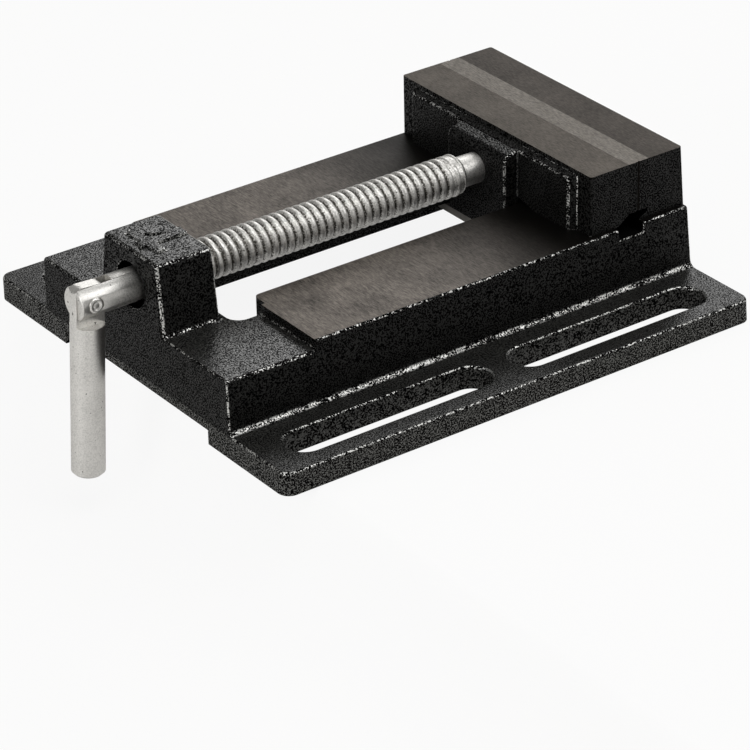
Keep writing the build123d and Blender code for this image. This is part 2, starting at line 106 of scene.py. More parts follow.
def ground_iron(tree, at, x, z):
    """Bare ground iron on rails and jaw tops: its colour, its roughness and its lines.
    Lines 0.15 mm apart run across the rails, drawn at 0.4 mm, under wear in clouds 17 mm across."""
    across = add(tree, "Mapping", {"Scale": (2600.0, 450.0, 450.0), "Vector": at}).outputs[0]
    lines = add(tree, "TexNoise", {"Scale": 1.0, "Detail": 4.0, "Roughness": 0.7,
                                   "Vector": across}).outputs[0]
    clouds = add(tree, "TexNoise", {"Scale": 60.0, "Detail": 5.0, "Roughness": 0.6, "Vector": at}).outputs[0]
    shade = add(tree, "Mix", {0: 0.3, 2: lines, 3: clouds}).outputs[0]
    wear = add(tree, "MapRange", {"Value": shade, "From Min": 0.36, "From Max": 0.64}).outputs[0]
    rails = add(tree, "Mix", {"data_type": "RGBA", 0: wear, 6: linear("#393633"),
                              7: linear("#7a736c")}).outputs[2]
    moving = add(tree, "Mix", {"data_type": "RGBA", 0: wear, 6: linear("#332f2a"),
                               7: linear("#554f48")}).outputs[2]
    fixed = add(tree, "Mix", {"data_type": "RGBA", 0: wear, 6: linear("#2a2622"),
                              7: linear("#46403a")}).outputs[2]
    # painted shade: the rails darken towards the closed jaw
    painted_jaw_shade = add(tree, "MapRange", {"interpolation_type": "SMOOTHSTEP", "Value": x,
                                  "From Min": -25 * MM, "From Max": 48 * MM}).outputs[0]
    rails = add(tree, "Mix", {"data_type": "RGBA", 0: painted_jaw_shade, 6: rails, 7: linear("#201e1c")}).outputs[2]
    past_seam = add(tree, "Math", {"operation": "GREATER_THAN", 0: x, 1: SEAM_X * MM}).outputs[0]
    on_jaw = add(tree, "Math", {"operation": "GREATER_THAN", 0: z, 1: (BED_TOP + 10) * MM}).outputs[0]
    jaws = add(tree, "Mix", {"data_type": "RGBA", 0: past_seam, 6: moving, 7: fixed}).outputs[2]
    iron = add(tree, "Mix", {"data_type": "RGBA", 0: on_jaw, 6: rails, 7: jaws}).outputs[2]
    gloss = add(tree, "MapRange", {"Value": wear, "To Min": 0.56, "To Max": 0.46}).outputs[0]
    return iron, gloss, lines


def hammered_casting_material():
    """Grey iron casting, sprayed with black and silver hammer enamel, then ground on rails and jaw tops.
    The enamel pulls into pits under a millimetre apart: dull black in them, glossy aluminium flake between.
    Level faces and low walls get a lighter colour, painted light, and more shine; steep ones stay near black.
    Aluminium flake sparkles in corners and along edges, partly as painted glints; the jaws' ends and deep
    hollows are darkened as painted shade.
    Grinding leaves bare iron, a warm dark grey with fine lines across the rails, with painted shade towards
    the closed jaw."""
    material, tree = new_material("hammer_enamel_on_cast_iron")
    place = add(tree, "TexCoord", {})
    at = place.outputs["Object"]
    x, y, z = add(tree, "SeparateXYZ", {0: at}).outputs
    facing = add(tree, "VectorMath", {"operation": "ABSOLUTE", 0: place.outputs["Normal"]}).outputs[0]
    face_x, face_y, face_z = add(tree, "SeparateXYZ", {0: facing}).outputs
    up = add(tree, "SeparateXYZ", {0: place.outputs["Normal"]}).outputs[2]
    side = add(tree, "Math", {"operation": "ABSOLUTE", 0: y}).outputs[0]
    lengthways = add(tree, "Math", {"operation": "ABSOLUTE", 0: x}).outputs[0]
    over_bed = add(tree, "Math", {"operation": "GREATER_THAN", 0: z, 1: (BED_TOP + 0.2) * MM}).outputs[0]
    on_front = add(tree, "Math", {"operation": "LESS_THAN", 0: x, 1: (NUT_REAR + 10.3) * MM}).outputs[0]

    # enamel: pits 0.5 mm apart over a broader flow of 3 mm
    pits = add(tree, "TexNoise", {"Scale": 2000.0, "Detail": 1.0, "Roughness": 0.5, "Vector": at}).outputs[0]
    flow = add(tree, "TexNoise", {"Scale": 330.0, "Detail": 2.0, "Vector": at}).outputs[0]
    relief = add(tree, "Math", {"operation": "MULTIPLY_ADD", 0: flow, 1: 0.15, 2: pits}).outputs[0]
    flake = add(tree, "MapRange", {"interpolation_type": "SMOOTHSTEP", "Value": relief,
                                   "From Min": 0.50, "From Max": 0.66}).outputs[0]

    # sparkle, partly a painted glint: edges, corners and bevels face neither along, across nor up
    upright = add(tree, "Math", {"operation": "MAXIMUM", 0: face_x, 1: face_y}).outputs[0]
    square = add(tree, "Math", {"operation": "MAXIMUM", 0: upright, 1: face_z}).outputs[0]
    edge = add(tree, "MapRange", {"interpolation_type": "SMOOTHSTEP", "Value": square,
                                  "From Min": 0.96, "From Max": 0.84}).outputs[0]

    # the size number's flanks and the pool at its foot sparkle too, as painted glint; they also lose the
    # level faces' painted light, as painted shade
    raised = add(tree, "Math", {"operation": "GREATER_THAN", 0: z, 1: (NUT_TOP + 0.05) * MM}).outputs[0]
    flank = add(tree, "MapRange", {"interpolation_type": "SMOOTHSTEP", "Value": up,
                                   "From Min": 0.9995, "From Max": 0.99}).outputs[0]
    pool = add(tree, "Math", {"operation": "LESS_THAN", 0: z, 1: (NUT_TOP + 0.2) * MM}).outputs[0]
    flank = add(tree, "Math", {"operation": "MAXIMUM", 0: flank, 1: pool}).outputs[0]
    number = add(tree, "Math", {"operation": "MULTIPLY", 0: raised, 1: on_front}).outputs[0]
    number = add(tree, "Math", {"operation": "MULTIPLY", 0: number, 1: flank}).outputs[0]
    edge = add(tree, "Math", {"operation": "MAXIMUM", 0: edge, 1: number}).outputs[0]

    # none on the flange's lower corners, the jaws' ends, the boss and the raised face's bevels
    outer = add(tree, "Math", {"operation": "GREATER_THAN", 0: side, 1: (FLANGE_SIDE - 26.5) * MM}).outputs[0]
    low = add(tree, "Math", {"operation": "LESS_THAN", 0: z, 1: (FLANGE_TOP - 1) * MM}).outputs[0]
    plain = add(tree, "Math", {"operation": "MULTIPLY", 0: outer, 1: low}).outputs[0]
    jaw_end = add(tree, "Math", {"operation": "GREATER_THAN", 0: side, 1: (JAW_END - 0.9) * MM}).outputs[0]
    jaw_end = add(tree, "Math", {"operation": "MULTIPLY", 0: jaw_end, 1: over_bed}).outputs[0]
    plain = add(tree, "Math", {"operation": "MAXIMUM", 0: plain, 1: jaw_end}).outputs[0]
    boss = add(tree, "Math", {"operation": "COMPARE", 0: x, 1: (JAW_BACK - 4.2) * MM, 2: 4.2 * MM}).outputs[0]
    inside = add(tree, "Math", {"operation": "LESS_THAN", 0: side, 1: (BOSS_SIDE - 0.9) * MM}).outputs[0]
    boss = add(tree, "Math", {"operation": "MULTIPLY", 0: boss, 1: inside}).outputs[0]
    plain = add(tree, "Math", {"operation": "MAXIMUM", 0: plain, 1: boss}).outputs[0]
    bevel = add(tree, "Math", {"operation": "COMPARE", 0: x, 1: (RAISED_FACE + 1.6) * MM,
                               2: 0.8 * MM}).outputs[0]
    bevel = add(tree, "Math", {"operation": "MULTIPLY", 0: bevel, 1: over_bed}).outputs[0]
    plain = add(tree, "Math", {"operation": "MAXIMUM", 0: plain, 1: bevel}).outputs[0]
    edge = add(tree, "Math", {"operation": "SUBTRACT", "use_clamp": True, 0: edge, 1: plain}).outputs[0]

    # but a painted glint in the corners beside the boss
    beside = add(tree, "Math", {"operation": "COMPARE", 0: side, 1: (BOSS_SIDE + 0.45) * MM,
                                2: 0.45 * MM}).outputs[0]
    corner = add(tree, "Math", {"operation": "COMPARE", 0: x, 1: RAISED_FACE * MM, 2: 0.1 * MM}).outputs[0]
    corner = add(tree, "Math", {"operation": "MULTIPLY", 0: corner, 1: beside}).outputs[0]
    corner = add(tree, "Math", {"operation": "MULTIPLY", 0: corner, 1: over_bed}).outputs[0]
    edge = add(tree, "Math", {"operation": "MAXIMUM", 0: edge, 1: corner}).outputs[0]

    # and a painted glint round the notch in the bed's sides: its lower rim, then its rear rim
    below = add(tree, "Math", {"operation": "COMPARE", 0: z, 1: (NOTCH_BOTTOM - 0.3) * MM,
                               2: 0.3 * MM}).outputs[0]
    along = add(tree, "Math", {"operation": "COMPARE", 0: x, 1: (NOTCH_FRONT + 5.4) * MM,
                               2: 5.2 * MM}).outputs[0]
    below = add(tree, "Math", {"operation": "MULTIPLY", 0: below, 1: along}).outputs[0]
    rear = add(tree, "Math", {"operation": "COMPARE", 0: x, 1: (NOTCH_REAR + 0.35) * MM,
                              2: 0.3 * MM}).outputs[0]
    height = add(tree, "Math", {"operation": "COMPARE", 0: z, 1: (NOTCH_BOTTOM + 1.7) * MM,
                                2: 1.8 * MM}).outputs[0]
    rear = add(tree, "Math", {"operation": "MULTIPLY", 0: rear, 1: height}).outputs[0]
    rim = add(tree, "Math", {"operation": "MAXIMUM", 0: below, 1: rear}).outputs[0]
    outward = add(tree, "Math", {"operation": "GREATER_THAN", 0: face_y, 1: 0.7}).outputs[0]
    rim = add(tree, "Math", {"operation": "MULTIPLY", 0: rim, 1: outward}).outputs[0]
    edge = add(tree, "Math", {"operation": "MAXIMUM", 0: edge, 1: rim}).outputs[0]

    # sparser on edges that lean upwards and on the jaws, less so on the flange and at the bed's foot
    thin = add(tree, "MapRange", {"Value": up, "From Min": 0.1, "From Max": 0.4, "To Max": 0.09}).outputs[0]
    jaws = add(tree, "MapRange", {"Value": x, "From Min": 40 * MM, "From Max": 41 * MM,
                                  "To Max": 0.03}).outputs[0]
    thin = add(tree, "Math", {"operation": "MAXIMUM", 0: thin, 1: jaws}).outputs[0]
    foot = add(tree, "MapRange", {"interpolation_type": "SMOOTHSTEP", "Value": z, "To Min": 0.35,
                                  "From Min": (FLANGE_TOP + 2) * MM,
                                  "From Max": (FLANGE_TOP + 4) * MM}).outputs[0]
    thin = add(tree, "Math", {"operation": "MULTIPLY", 0: thin, 1: foot}).outputs[0]
    patches = add(tree, "Math", {"operation": "MULTIPLY_ADD", 0: flow, 1: 0.4, 2: -0.2}).outputs[0]
    gathered = add(tree, "Math", {"operation": "SUBTRACT", 0: relief, 1: thin}).outputs[0]
    gathered = add(tree, "Math", {"operation": "ADD", 0: gathered, 1: patches}).outputs[0]
    bright = add(tree, "MapRange", {"interpolation_type": "SMOOTHSTEP", "Value": gathered,
                                    "From Min": 0.55, "From Max": 0.63}).outputs[0]
    sparkle_and_painted_glint = add(tree, "Math", {"operation": "MULTIPLY", 0: edge, 1: bright}).outputs[0]

    # a painted highlight along the top rim at the back of the nut block
    painted_rim_glint = add(tree, "Math", {"operation": "COMPARE", 0: x, 1: (NUT_REAR + 0.1) * MM, 2: 0.9 * MM}).outputs[0]
    top_rim = add(tree, "Math", {"operation": "GREATER_THAN", 0: z, 1: (NUT_TOP - 0.9) * MM}).outputs[0]
    rounded = add(tree, "MapRange", {"interpolation_type": "SMOOTHSTEP", "Value": up,
                                     "From Min": 0.999, "From Max": 0.98, "To Max": 0.55}).outputs[0]
    painted_rim_glint = add(tree, "Math", {"operation": "MULTIPLY", 0: painted_rim_glint, 1: top_rim}).outputs[0]
    painted_rim_glint = add(tree, "Math", {"operation": "MULTIPLY", 0: painted_rim_glint, 1: rounded}).outputs[0]
    sparkle_and_painted_glint = add(tree, "Math", {"operation": "MAXIMUM", 0: sparkle_and_painted_glint, 1: painted_rim_glint}).outputs[0]

    # painted shade: black without flake in the nut's bore, and in the notch and hollow under the jaw plates
    above = add(tree, "Math", {"operation": "SUBTRACT", 0: z, 1: AXIS[2] * MM}).outputs[0]
    offset = add(tree, "CombineXYZ", {1: y, 2: above}).outputs[0]
    radius = add(tree, "VectorMath", {"operation": "LENGTH", 0: offset}).outputs["Value"]
    bore = add(tree, "Math", {"operation": "LESS_THAN", 0: radius, 1: 7.8 * MM}).outputs[0]
    bore = add(tree, "Math", {"operation": "MULTIPLY", 0: bore, 1: on_front}).outputs[0]
    along = add(tree, "Math", {"operation": "COMPARE", 0: x, 1: (NOTCH_FRONT + 6.8) * MM,
                               2: 6.9 * MM}).outputs[0]
    height = add(tree, "Math", {"operation": "COMPARE", 0: z, 1: (NOTCH_BOTTOM + 3.35) * MM,
                                2: 3.45 * MM}).outputs[0]
    hollow = add(tree, "Math", {"operation": "MULTIPLY", 0: along, 1: height}).outputs[0]
    inward = add(tree, "Math", {"operation": "LESS_THAN", 0: face_y, 1: 0.7}).outputs[0]
    hollow = add(tree, "Math", {"operation": "MULTIPLY", 0: hollow, 1: inward}).outputs[0]
    painted_hollow_shade = add(tree, "Math", {"operation": "MAXIMUM", 0: bore, 1: hollow}).outputs[0]
    outside_hollow_shade = add(tree, "Math", {"operation": "SUBTRACT", 0: 1.0, 1: painted_hollow_shade}).outputs[0]
    sparkle_and_painted_glint = add(tree, "Math", {"operation": "MULTIPLY", 0: sparkle_and_painted_glint, 1: outside_hollow_shade}).outputs[0]
    flake = add(tree, "Math", {"operation": "MULTIPLY", 0: flake, 1: outside_hollow_shade}).outputs[0]

    # on level faces, but not on the number's flanks and pool: a lighter colour, painted light from above, and
    # a smoother, shinier skin
    level_and_painted_light = add(tree, "MapRange", {"interpolation_type": "SMOOTHSTEP", "Value": up,
                                   "From Min": 0.88, "From Max": 0.99}).outputs[0]
    elsewhere = add(tree, "Math", {"operation": "SUBTRACT", 0: 1.0, 1: number}).outputs[0]
    level_and_painted_light = add(tree, "Math", {"operation": "MULTIPLY", 0: level_and_painted_light, 1: elsewhere}).outputs[0]

    # the walls of flange and slots get brighter crowns, painted light from the floor in front, and sparser
    # flake
    low_walls_and_painted_light = add(tree, "MapRange", {"interpolation_type": "SMOOTHSTEP", "Value": z,
                                   "From Min": (FLANGE_TOP + 0.1) * MM,
                                   "From Max": (FLANGE_TOP - 0.3) * MM}).outputs[0]
    sheer = add(tree, "MapRange", {"interpolation_type": "SMOOTHSTEP", "Value": up,
                                   "From Min": 0.5, "From Max": 0.2}).outputs[0]
    low_walls_and_painted_light = add(tree, "Math", {"operation": "MULTIPLY", 0: low_walls_and_painted_light, 1: sheer}).outputs[0]
    long_wall = add(tree, "Math", {"operation": "GREATER_THAN", 0: side,
                                   1: (FLANGE_SIDE - 4) * MM}).outputs[0]
    end_wall = add(tree, "Math", {"operation": "GREATER_THAN", 0: lengthways,
                                  1: (FLANGE_END - 2.5) * MM}).outputs[0]
    outermost = add(tree, "Math", {"operation": "MAXIMUM", 0: long_wall, 1: end_wall}).outputs[0]
    reached = add(tree, "MapRange", {"Value": outermost, "To Min": 0.5, "To Max": 1.0}).outputs[0]
    low_walls_and_painted_light = add(tree, "Math", {"operation": "MULTIPLY", 0: low_walls_and_painted_light, 1: reached}).outputs[0]
    sparse = add(tree, "Math", {"operation": "MULTIPLY_ADD", 0: low_walls_and_painted_light, 1: 1.8, 2: 1.0}).outputs[0]
    flake = add(tree, "Math", {"operation": "POWER", 0: flake, 1: sparse}).outputs[0]

    # colour: black in the pits, grey flake on their crowns, lighter on level faces and low walls as painted
    # light, darker on the jaws' ends as painted shade, aluminium where it sparkles, partly as a painted glint
    # painted light: pits and crowns are lighter on level faces
    hollows = add(tree, "Mix", {"data_type": "RGBA", 0: level_and_painted_light, 6: linear("#020202"),
                                7: linear("#060606")}).outputs[2]
    crowns = add(tree, "Mix", {"data_type": "RGBA", 0: level_and_painted_light, 6: linear("#1f1f1e"),
                               7: linear("#2f2f2d")}).outputs[2]
    # painted light: brighter crowns on the low walls of flange and slots
    crowns = add(tree, "Mix", {"data_type": "RGBA", 0: low_walls_and_painted_light, 6: crowns, 7: linear("#5c5c59")}).outputs[2]
    # painted shade: darker crowns on the jaws' ends
    crowns = add(tree, "Mix", {"data_type": "RGBA", 0: jaw_end, 6: crowns, 7: linear("#181817")}).outputs[2]
    enamel = add(tree, "Mix", {"data_type": "RGBA", 0: flake, 6: hollows, 7: crowns}).outputs[2]
    enamel = add(tree, "Mix", {"data_type": "RGBA", 0: sparkle_and_painted_glint, 6: enamel, 7: linear("#d2d2cf")}).outputs[2]

    # shine: strongest on level faces, less on the low walls, thinner on the flange, and hardly any in the
    # pits
    walls_share = add(tree, "Math", {"operation": "MULTIPLY", 0: low_walls_and_painted_light, 1: 0.6}).outputs[0]
    leafed = add(tree, "Math", {"operation": "MAXIMUM", 0: level_and_painted_light, 1: walls_share}).outputs[0]
    shine = add(tree, "MapRange", {"Value": leafed, "To Min": 0.16, "To Max": 0.84}).outputs[0]
    least = add(tree, "Math", {"operation": "MULTIPLY", 0: level_and_painted_light, 1: 0.06}).outputs[0]
    covered = add(tree, "Math", {"operation": "MAXIMUM", 0: flake, 1: least}).outputs[0]
    shine = add(tree, "Math", {"operation": "MULTIPLY", 0: shine, 1: covered}).outputs[0]
    thinner = add(tree, "MapRange", {"Value": z, "From Min": (FLANGE_TOP + 0.5) * MM,
                                     "From Max": (FLANGE_TOP + 1) * MM, "To Min": 0.7,
                                     "To Max": 1.0}).outputs[0]
    shine = add(tree, "Math", {"operation": "MULTIPLY", 0: shine, 1: thinner}).outputs[0]
    dull = add(tree, "MapRange", {"Value": level_and_painted_light, "To Min": 0.6, "To Max": 0.45}).outputs[0]
    glossy = add(tree, "MapRange", {"Value": level_and_painted_light, "To Min": 0.28, "To Max": 0.14}).outputs[0]
    enamel_gloss = add(tree, "Mix", {0: flake, 2: dull, 3: glossy}).outputs[0]

    # ground where the face looks up at the height of the rails, or of the jaws' tops
    iron, iron_gloss, lines = ground_iron(tree, at, x, z)
    rail = add(tree, "Math", {"operation": "COMPARE", 0: z, 1: BED_TOP * MM, 2: 0.15 * MM}).outputs[0]
    top = add(tree, "Math", {"operation": "COMPARE", 0: z, 1: JAW_TOP * MM, 2: 0.15 * MM}).outputs[0]
    on_jaws = add(tree, "Math", {"operation": "GREATER_THAN", 0: x, 1: (JAW_BACK - 10.2) * MM}).outputs[0]
    top = add(tree, "Math", {"operation": "MULTIPLY", 0: top, 1: on_jaws}).outputs[0]
    ground = add(tree, "Math", {"operation": "MAXIMUM", 0: rail, 1: top}).outputs[0]
    flat = add(tree, "MapRange", {"interpolation_type": "SMOOTHSTEP", "Value": up,
                                  "From Min": 0.9, "From Max": 0.98}).outputs[0]
    ground = add(tree, "Math", {"operation": "MULTIPLY", 0: ground, 1: flat}).outputs[0]

    colour = add(tree, "Mix", {"data_type": "RGBA", 0: ground, 6: enamel, 7: iron}).outputs[2]
    gloss = add(tree, "Mix", {0: ground, 2: enamel_gloss, 3: iron_gloss}).outputs[0]
    metal = add(tree, "Math", {"operation": "MAXIMUM", 0: ground, 1: sparkle_and_painted_glint}).outputs[0]
    scratches = add(tree, "Math", {"operation": "MULTIPLY", 0: lines, 1: 0.15}).outputs[0]
    surface = add(tree, "Mix", {0: ground, 2: relief, 3: scratches}).outputs[0]
    depth = add(tree, "MapRange", {"Value": level_and_painted_light, "To Min": 0.4 * MM, "To Max": 0.2 * MM}).outputs[0]
    depth = add(tree, "Mix", {0: ground, 2: depth, 3: 0.4 * MM}).outputs[0]
    bump = add(tree, "Bump", {"Strength": 0.5, "Distance": depth, "Height": surface}).outputs[0]
    shader = add(tree, "BsdfPrincipled", {"Base Color": colour, "Metallic": metal, "Roughness": gloss,
                                          "Specular IOR Level": shine, "Normal": bump})
    add(tree, "OutputMaterial", {"Surface": shader.outputs[0]})
    return material


def blackened_plate_material():
    """Tool steel plate, blackened in hot oxide, its ends sprayed with the jaw and its top edge ground.
    The oxide is a dense satin black; the ground edge is warm grey with the same lines as the jaw tops."""
    material, tree = new_material("black_oxide_steel")
    place = add(tree, "TexCoord", {})
    at = place.outputs["Object"]
    y, z = add(tree, "SeparateXYZ", {0: at}).outputs[1:]
    face_y, up = add(tree, "SeparateXYZ", {0: place.outputs["Normal"]}).outputs[1:]

    # oxide, mottled 2.5 mm across
    mottle = add(tree, "TexNoise", {"Scale": 400.0, "Detail": 4.0, "Vector": at}).outputs[0]
    oxide = add(tree, "Mix", {"data_type": "RGBA", 0: mottle, 6: linear("#0f0e0d"),
                              7: linear("#262321")}).outputs[2]

    # ground top edge, its lines drawn at 0.4 mm, as on the jaws
    across = add(tree, "Mapping", {"Scale": (2600.0, 450.0, 450.0), "Vector": at}).outputs[0]
    lines = add(tree, "TexNoise", {"Scale": 1.0, "Detail": 4.0, "Roughness": 0.7,
                                   "Vector": across}).outputs[0]
    wear = add(tree, "MapRange", {"Value": lines, "From Min": 0.36, "From Max": 0.64}).outputs[0]
    bare = add(tree, "Mix", {"data_type": "RGBA", 0: wear, 6: linear("#4e4a46"),
                             7: linear("#76716a")}).outputs[2]
    top = add(tree, "Math", {"operation": "GREATER_THAN", 0: z, 1: (JAW_TOP - 0.15) * MM}).outputs[0]
    flat = add(tree, "MapRange", {"interpolation_type": "SMOOTHSTEP", "Value": up,
                                  "From Min": 0.9, "From Max": 0.98}).outputs[0]
    ground = add(tree, "Math", {"operation": "MULTIPLY", 0: top, 1: flat}).outputs[0]
    steel = add(tree, "Mix", {"data_type": "RGBA", 0: ground, 6: oxide, 7: bare}).outputs[2]

    # enamel on the ends: pits 0.5 mm apart, as on the castings
    pits = add(tree, "TexNoise", {"Scale": 2000.0, "Detail": 1.0, "Roughness": 0.5, "Vector": at}).outputs[0]
    flake = add(tree, "MapRange", {"interpolation_type": "SMOOTHSTEP", "Value": pits,
                                   "From Min": 0.45, "From Max": 0.6}).outputs[0]
    film = add(tree, "Mix", {"data_type": "RGBA", 0: flake, 6: linear("#020202"),
                             7: linear("#1a1a19")}).outputs[2]
    sideways = add(tree, "Math", {"operation": "ABSOLUTE", 0: face_y}).outputs[0]
    sideways = add(tree, "Math", {"operation": "GREATER_THAN", 0: sideways, 1: 0.9}).outputs[0]
    side = add(tree, "Math", {"operation": "ABSOLUTE", 0: y}).outputs[0]
    end = add(tree, "Math", {"operation": "GREATER_THAN", 0: side, 1: (JAW_END - 0.1) * MM}).outputs[0]
    sprayed = add(tree, "Math", {"operation": "MULTIPLY", 0: sideways, 1: end}).outputs[0]

    colour = add(tree, "Mix", {"data_type": "RGBA", 0: sprayed, 6: steel, 7: film}).outputs[2]
    steel_gloss = add(tree, "MapRange", {"Value": mottle, "From Min": 0.3, "From Max": 0.7,
                                         "To Min": 0.46, "To Max": 0.56}).outputs[0]
    film_gloss = add(tree, "MapRange", {"Value": flake, "To Min": 0.6, "To Max": 0.28}).outputs[0]
    gloss = add(tree, "Mix", {0: sprayed, 2: steel_gloss, 3: film_gloss}).outputs[0]
    metal = add(tree, "Math", {"operation": "SUBTRACT", 0: 1.0, 1: sprayed}).outputs[0]
    shine = add(tree, "Math", {"operation": "MULTIPLY", 0: flake, 1: 0.16}).outputs[0]
    surface = add(tree, "Mix", {0: sprayed, 2: mottle, 3: pits}).outputs[0]
    depth = add(tree, "MapRange", {"Value": sprayed, "To Min": 0.05 * MM, "To Max": 0.4 * MM}).outputs[0]
    bump = add(tree, "Bump", {"Strength": 0.5, "Distance": depth, "Height": surface}).outputs[0]
    shader = add(tree, "BsdfPrincipled", {"Base Color": colour, "Metallic": metal, "Roughness": gloss,
                                          "Specular IOR Level": shine, "Normal": bump})
    add(tree, "OutputMaterial", {"Surface": shader.outputs[0]})
    return material


def plain_steel_material(name, dark, light, gloss, grain):
    """Satin steel with a thin zinc plating or a rolled skin; grain is how many clouds fill a metre."""
    material, tree = new_material(name)
    at = add(tree, "TexCoord", {}).outputs["Object"]
    cloud = add(tree, "TexNoise", {"Scale": grain, "Detail": 5.0, "Roughness": 0.6, "Vector": at}).outputs[0]
    wear = add(tree, "MapRange", {"Value": cloud, "From Min": 0.35, "From Max": 0.65}).outputs[0]
    colour = add(tree, "Mix", {"data_type": "RGBA", 0: wear, 6: linear(dark), 7: linear(light)}).outputs[2]
    rough = add(tree, "MapRange", {"Value": wear, "To Min": gloss + 0.06, "To Max": gloss - 0.04}).outputs[0]
    bump = add(tree, "Bump", {"Strength": 0.25, "Distance": 0.06 * MM, "Height": cloud}).outputs[0]
    shader = add(tree, "BsdfPrincipled", {"Metallic": 1.0, "Base Color": colour, "Roughness": rough,
                                          "Normal": bump})
    add(tree, "OutputMaterial", {"Surface": shader.outputs[0]})
    return material


def bright_zinc_material():
    """Turned steel with bright zinc plating, pale and satin, with tiny pits that break up its highlights.
    The fork and the handle are smoother. The thread's roots are much darker."""
    material, tree = new_material("bright_zinc_plating")
    at = add(tree, "TexCoord", {}).outputs["Object"]
    x, y, z = add(tree, "SeparateXYZ", {0: at}).outputs

    # pits 0.5 mm apart over clouds 7 mm across
    cloud = add(tree, "TexNoise", {"Scale": 150.0, "Detail": 4.0, "Roughness": 0.6, "Vector": at}).outputs[0]
    pits = add(tree, "TexNoise", {"Scale": 1900.0, "Detail": 2.0, "Roughness": 0.6, "Vector": at}).outputs[0]
    shade = add(tree, "Mix", {0: 0.7, 2: cloud, 3: pits}).outputs[0]
    wear = add(tree, "MapRange", {"Value": shade, "From Min": 0.36, "From Max": 0.58}).outputs[0]

    # calmer on the fork and the handle
    grainy = add(tree, "MapRange", {"interpolation_type": "SMOOTHSTEP", "Value": x,
                                    "From Min": (PIVOT_X + 4) * MM,
                                    "From Max": (PIVOT_X + 13) * MM}).outputs[0]
    calm = add(tree, "Math", {"operation": "MULTIPLY_ADD", 0: wear, 1: 0.45, 2: 0.45}).outputs[0]
    wear = add(tree, "Mix", {0: grainy, 2: calm, 3: wear}).outputs[0]
    zinc = add(tree, "Mix", {"data_type": "RGBA", 0: wear, 6: linear("#aeada9"),
                             7: linear("#e6e4e0")}).outputs[2]

    # a few dark specks under a millimetre across
    specks = add(tree, "TexNoise", {"Scale": 1300.0, "Detail": 0.0, "Vector": at}).outputs[0]
    specks = add(tree, "MapRange", {"interpolation_type": "SMOOTHSTEP", "Value": specks,
                                    "From Min": 0.79, "From Max": 0.85}).outputs[0]
    zinc = add(tree, "Mix", {"data_type": "RGBA", 0: specks, 6: zinc, 7: linear("#5c5a56")}).outputs[2]

    # darker in the thread's roots, with a ragged edge, from 84.6 mm before the middle to 34.6 mm behind it
    above = add(tree, "Math", {"operation": "SUBTRACT", 0: z, 1: AXIS[2] * MM}).outputs[0]
    offset = add(tree, "CombineXYZ", {1: y, 2: above}).outputs[0]
    radius = add(tree, "VectorMath", {"operation": "LENGTH", 0: offset}).outputs["Value"]
    ragged = add(tree, "Math", {"operation": "MULTIPLY_ADD", 0: pits, 1: 2.4 * MM, 2: radius}).outputs[0]
    root = add(tree, "MapRange", {"interpolation_type": "SMOOTHSTEP", "Value": ragged,
                                  "From Min": 7.7 * MM, "From Max": 7.2 * MM}).outputs[0]
    threaded = add(tree, "Math", {"operation": "COMPARE", 0: x, 1: -25 * MM, 2: 59.6 * MM}).outputs[0]
    root = add(tree, "Math", {"operation": "MULTIPLY", 0: root, 1: threaded}).outputs[0]
    colour = add(tree, "Mix", {"data_type": "RGBA", 0: root, 6: zinc, 7: linear("#56544f")}).outputs[2]

    rough = add(tree, "MapRange", {"Value": wear, "To Min": 0.44, "To Max": 0.33}).outputs[0]
    rougher = add(tree, "Math", {"operation": "MULTIPLY_ADD", 0: grainy, 1: 0.08, 2: rough}).outputs[0]
    bump = add(tree, "Bump", {"Strength": 0.5, "Distance": 0.07 * MM, "Height": shade}).outputs[0]
    shader = add(tree, "BsdfPrincipled", {"Metallic": 1.0, "Base Color": colour, "Roughness": rougher,
                                          "Normal": bump})
    add(tree, "OutputMaterial", {"Surface": shader.outputs[0]})
    return material


casting = hammered_casting_material()
blackened = blackened_plate_material()
rolled = plain_steel_material("rolled_steel", "#6b6863", "#8a8782", 0.42, 90.0)
fastener = plain_steel_material("zinc_fastener_steel", "#a9a8a4", "#cfcdc8", 0.30, 300.0)
bright_zinc = bright_zinc_material()

finish_of = {"casting": casting, "black_steel": blackened, "plain_steel": rolled,
             "fastener_steel": fastener, "zinc_plated_steel": bright_zinc}
for part in frame["record"]["subparts"]:
    node[part["node"]].data.materials.clear()
    node[part["node"]].data.materials.append(finish_of[part["material_slot"]])


# Modelling

def alone(piece):
    """Makes this the only selected object."""
    bpy.ops.object.select_all(action="DESELECT")
    piece.select_set(True)
    bpy.context.view_layer.objects.active = piece


def settle(piece, name, finish, angle=35):
    """Names a finished piece, gives it its material and leaves its place in its mesh."""
    alone(piece)
    bpy.ops.object.transform_apply(location=True, rotation=True, scale=True)
    bpy.ops.object.shade_smooth_by_angle(angle=math.radians(angle))
    piece.name = name
    piece.data.materials.clear()
    piece.data.materials.append(finish)
    return piece


def apply_modifier(piece, kind, **settings):
    """Gives a piece one modifier and applies it."""
    alone(piece)
    modifier = piece.modifiers.new(kind.lower(), kind)
    for setting, value in settings.items():
        setattr(modifier, setting, value)
    bpy.ops.object.modifier_apply(modifier=modifier.name)


def soften(piece, width, segments, sharper_than):
    """Bevels the edges that are sharper than an angle in degrees, to a width in millimetres."""
    apply_modifier(piece, "BEVEL", width=width * MM, segments=segments, limit_method="ANGLE",
                   angle_limit=math.radians(sharper_than))


def cut(piece, tool, operation="DIFFERENCE"):
    """Cuts a piece with a tool, then throws the tool away."""
    apply_modifier(piece, "BOOLEAN", operation=operation, object=tool, solver="EXACT")
    bpy.data.objects.remove(tool)


